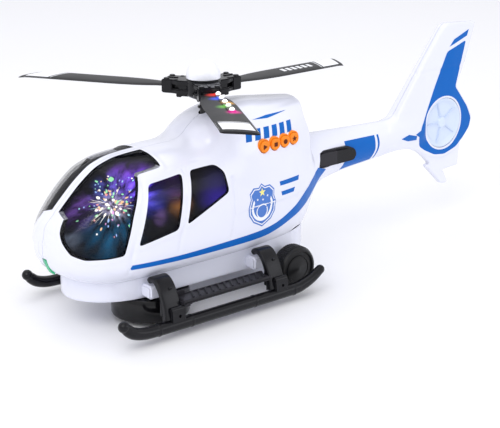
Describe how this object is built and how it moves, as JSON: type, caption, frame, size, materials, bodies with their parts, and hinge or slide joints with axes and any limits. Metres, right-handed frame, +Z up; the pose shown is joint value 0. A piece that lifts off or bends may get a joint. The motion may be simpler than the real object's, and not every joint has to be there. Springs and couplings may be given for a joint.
{
  "type": "toy helicopter",
  "caption": "Battery toy helicopter: hollow white body with smoked windows, lit rotor, tail fin with fan, skids, rear wheels, swivelling drive turret and push buttons.",
  "frame": {"origin": "on the floor, under the middle of the whole object's box; the fuselage's centre plane is at y = +5.85 mm and the rotor axis at x = -62.25 mm", "axes": "+Z up, nose towards -X, the helicopter's port side and its push buttons towards -Y"},
  "size_m": [0.3504, 0.2037, 0.1418],
  "materials": {
    "shell_white": "glossy moulded ABS, very slightly lavender",
    "blue_print": "glossy printed film",
    "smoked_window": "clear smoked plastic",
    "black_plastic": "satin moulded plastic",
    "wheel_black": "satin moulded plastic with a ribbed tread",
    "orange_plastic": "soft glossy",
    "teal_lens": "translucent lens",
    "clear_lens": "frosted clear plastic",
    "led_light": "lit LEDs",
    "steel": "plated",
    "brass": "machined",
    "circuit_board": "solder mask",
    "battery_jacket": "shrink sleeve"
  },
  "bodies": {
    "airframe": {"shell_left": "shell_white", "shell_right": "shell_white", "chassis_pan": "shell_white", "battery_door": "shell_white", "battery_door_screw": "steel", "battery_1": "battery_jacket", "battery_2": "battery_jacket", "battery_3": "battery_jacket", "nose_light": "teal_lens", "windshield_left": "smoked_window", "windshield_right": "smoked_window", "door_window_left": "smoked_window", "door_window_right": "smoked_window", "rear_window_left": "smoked_window", "rear_window_right": "smoked_window", "exhaust_left": "black_plastic", "exhaust_right": "black_plastic", "fenestron": "shell_white", "lamp_base": "black_plastic", "lamp_dome": "clear_lens", "main_board": "circuit_board", "speaker": "black_plastic", "rotor_motor": "steel", "button_board": "circuit_board", "runner_left": "black_plastic", "runner_right": "black_plastic", "step_left": "black_plastic", "step_right": "black_plastic", "leg_front_left": "black_plastic", "leg_front_right": "black_plastic", "leg_rear_left": "black_plastic", "leg_rear_right": "black_plastic"},
    "rotor": {"rotor_mast": "black_plastic", "rotor_gear": "brass", "rotor_hub": "black_plastic", "hub_dome": "clear_lens", "rotor_blade_1": "black_plastic", "rotor_blade_2": "black_plastic", "rotor_blade_3": "black_plastic", "blade_led_strip": "led_light"},
    "rotor_pinion_shaft": {"rotor_pinion": "brass"},
    "rear_wheels": {"rear_axle": "steel", "rear_wheel_left": "wheel_black", "rear_wheel_right": "wheel_black"},
    "turret": {"turret_housing": "black_plastic", "turret_base": "black_plastic", "drive_motor": "steel"},
    "drive_wheels": {"drive_axle": "steel", "drive_gear": "brass", "drive_wheel_left": "wheel_black", "drive_wheel_right": "wheel_black"},
    "drive_pinion_shaft": {"drive_pinion": "brass"},
    "button_1_body": {"button_1": "orange_plastic"},
    "button_2_body": {"button_2": "orange_plastic"},
    "button_3_body": {"button_3": "orange_plastic"},
    "button_4_body": {"button_4": "orange_plastic"},
    "switch_slider": {"power_switch": "black_plastic"}
  },
  "joints": [
    {"name": "rotor_spin", "type": "hinge", "parent": "airframe", "child": "rotor", "pos_m": [-0.06225, 0.00585, 0.12], "axis": [0, 0, 1], "continuous": true},
    {"name": "rotor_pinion_spin", "type": "hinge", "parent": "airframe", "child": "rotor_pinion_shaft", "pos_m": [-0.051, 0.00585, 0.101], "axis": [0, 0, 1], "continuous": true},
    {"name": "rear_wheels_roll", "type": "hinge", "parent": "airframe", "child": "rear_wheels", "pos_m": [-0.02325, 0.00585, 0.014], "axis": [0, 1, 0], "continuous": true},
    {"name": "turret_swivel", "type": "hinge", "parent": "airframe", "child": "turret", "pos_m": [-0.10625, 0.00585, 0.01], "axis": [0, 0, 1], "continuous": true},
    {"name": "drive_wheels_roll", "type": "hinge", "parent": "turret", "child": "drive_wheels", "pos_m": [-0.11406, -0.00908, 0.007], "axis": [-0.8862, 0.4633, 0], "continuous": true},
    {"name": "drive_pinion_spin", "type": "hinge", "parent": "turret", "child": "drive_pinion_shaft", "pos_m": [-0.11135, -0.0039, 0.0096], "axis": [-0.8862, 0.4633, 0], "continuous": true},
    {"name": "button_1_press", "type": "slide", "parent": "airframe", "child": "button_1_body", "axis": [0, 1, 0], "range_m": [0, 0.0015], "stiffness_N_per_m": 300, "springref_m": -0.001},
    {"name": "button_2_press", "type": "slide", "parent": "airframe", "child": "button_2_body", "axis": [0, 1, 0], "range_m": [0, 0.0015], "stiffness_N_per_m": 300, "springref_m": -0.001},
    {"name": "button_3_press", "type": "slide", "parent": "airframe", "child": "button_3_body", "axis": [0, 1, 0], "range_m": [0, 0.0015], "stiffness_N_per_m": 300, "springref_m": -0.001},
    {"name": "button_4_press", "type": "slide", "parent": "airframe", "child": "button_4_body", "axis": [0, 1, 0], "range_m": [0, 0.0015], "stiffness_N_per_m": 300, "springref_m": -0.001},
    {"name": "power_switch_slide", "type": "slide", "parent": "airframe", "child": "switch_slider", "axis": [0, 1, 0], "range_m": [0, 0.004]}
  ],
  "couplings": [
    {"joint": "rotor_pinion_spin", "follows": "rotor_spin", "ratio": -4},
    {"joint": "drive_pinion_spin", "follows": "drive_wheels_roll", "ratio": -3}
  ]
}
